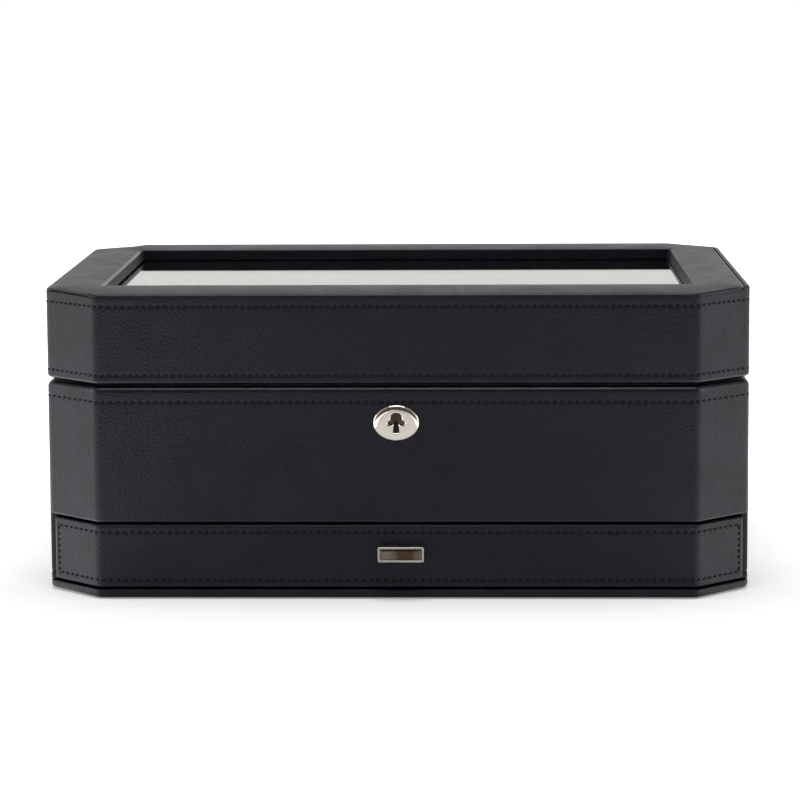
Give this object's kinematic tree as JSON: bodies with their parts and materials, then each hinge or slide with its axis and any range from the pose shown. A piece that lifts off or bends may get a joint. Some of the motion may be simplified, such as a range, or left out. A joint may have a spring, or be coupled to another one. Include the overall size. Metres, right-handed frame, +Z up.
{
  "type": "watch box",
  "caption": "Black leather watch box with cut corners: glazed locking lid, divided bay with lift-out watch cushions, and a full-width drawer below.",
  "frame": {"origin": "middle of the underside, on the surface that the box stands on", "axes": "+X to the right seen from the front, +Y to the back, +Z up"},
  "size_m": [0.33, 0.2201, 0.144],
  "materials": {
    "black_leather": "pebble grain, semi-matt",
    "carcass_board": "sanded fibreboard",
    "drawer_wood": "black stained wood",
    "suede_board": "board covered in black suede",
    "suede_lining": "black suede",
    "cushion_suede": "black suede over foam",
    "base_felt": "black felt",
    "clear_glass": "clear float glass",
    "polished_nickel": "polished nickel",
    "dark_plate": "blackened steel",
    "lock_brass": "plain brass",
    "screw_steel": "plain steel"
  },
  "bodies": {
    "case": {"back_liner": "suede_board", "back_wall": "carcass_board", "base_board": "carcass_board", "base_felt": "base_felt", "base_leather": "black_leather", "body_leather": "black_leather", "compartment_floor": "carcass_board", "corner_posts": "carcass_board", "cross_dividers": "suede_board", "drawer_guides": "drawer_wood", "drawer_stop": "drawer_wood", "escutcheon": "polished_nickel", "floor_lining": "suede_lining", "front_liner": "suede_board", "front_wall": "carcass_board", "hinge_body_leaves": "polished_nickel", "hinge_pins": "screw_steel", "left_liner": "suede_board", "left_wall": "carcass_board", "lock_case": "lock_brass", "lock_faceplate": "dark_plate", "lock_screws": "screw_steel", "long_divider": "suede_board", "right_liner": "suede_board", "right_wall": "carcass_board", "rim_ledge": "suede_board", "rim_screws": "screw_steel"},
    "lid": {"glass_pane": "clear_glass", "glass_retainer": "suede_board", "hinge_lid_leaves": "polished_nickel", "lid_back_wall": "carcass_board", "lid_band_leather": "black_leather", "lid_corner_posts": "carcass_board", "lid_front_wall": "carcass_board", "lid_left_wall": "carcass_board", "lid_lining": "suede_lining", "lid_right_wall": "carcass_board", "lid_screws": "screw_steel", "lid_top_frame": "carcass_board", "lid_top_leather": "black_leather", "link_plate": "dark_plate"},
    "drawer": {"drawer_back": "drawer_wood", "drawer_bottom": "drawer_wood", "drawer_front": "carcass_board", "drawer_front_leather": "black_leather", "drawer_lining": "suede_lining", "drawer_pull": "polished_nickel", "drawer_sides": "drawer_wood", "pull_screws": "screw_steel"},
    "bolt": {"lock_bolt": "lock_brass"},
    "cushion_1": {"watch_cushion_1": "cushion_suede"},
    "cushion_2": {"watch_cushion_2": "cushion_suede"},
    "cushion_3": {"watch_cushion_3": "cushion_suede"},
    "cushion_4": {"watch_cushion_4": "cushion_suede"},
    "cushion_5": {"watch_cushion_5": "cushion_suede"},
    "cushion_6": {"watch_cushion_6": "cushion_suede"},
    "cushion_7": {"watch_cushion_7": "cushion_suede"},
    "cushion_8": {"watch_cushion_8": "cushion_suede"},
    "cushion_9": {"watch_cushion_9": "cushion_suede"},
    "cushion_10": {"watch_cushion_10": "cushion_suede"}
  },
  "joints": [
    {"name": "lid_hinge", "type": "hinge", "parent": "case", "child": "lid", "pos_m": [0, 0.1074, 0.101], "axis": [-1, 0, 0], "range_deg": [0, 100]},
    {"name": "drawer_slide", "type": "slide", "parent": "case", "child": "drawer", "axis": [0, -1, 0], "range_m": [0, 0.137]},
    {"name": "bolt_slide", "type": "slide", "parent": "case", "child": "bolt", "axis": [1, 0, 0], "range_m": [0, 0.004]},
    {"name": "cushion_1_lift", "type": "slide", "parent": "case", "child": "cushion_1", "axis": [0, 0, 1], "range_m": [0, 0.05]},
    {"name": "cushion_2_lift", "type": "slide", "parent": "case", "child": "cushion_2", "axis": [0, 0, 1], "range_m": [0, 0.05]},
    {"name": "cushion_3_lift", "type": "slide", "parent": "case", "child": "cushion_3", "axis": [0, 0, 1], "range_m": [0, 0.05]},
    {"name": "cushion_4_lift", "type": "slide", "parent": "case", "child": "cushion_4", "axis": [0, 0, 1], "range_m": [0, 0.05]},
    {"name": "cushion_5_lift", "type": "slide", "parent": "case", "child": "cushion_5", "axis": [0, 0, 1], "range_m": [0, 0.05]},
    {"name": "cushion_6_lift", "type": "slide", "parent": "case", "child": "cushion_6", "axis": [0, 0, 1], "range_m": [0, 0.05]},
    {"name": "cushion_7_lift", "type": "slide", "parent": "case", "child": "cushion_7", "axis": [0, 0, 1], "range_m": [0, 0.05]},
    {"name": "cushion_8_lift", "type": "slide", "parent": "case", "child": "cushion_8", "axis": [0, 0, 1], "range_m": [0, 0.05]},
    {"name": "cushion_9_lift", "type": "slide", "parent": "case", "child": "cushion_9", "axis": [0, 0, 1], "range_m": [0, 0.05]},
    {"name": "cushion_10_lift", "type": "slide", "parent": "case", "child": "cushion_10", "axis": [0, 0, 1], "range_m": [0, 0.05]}
  ]
}
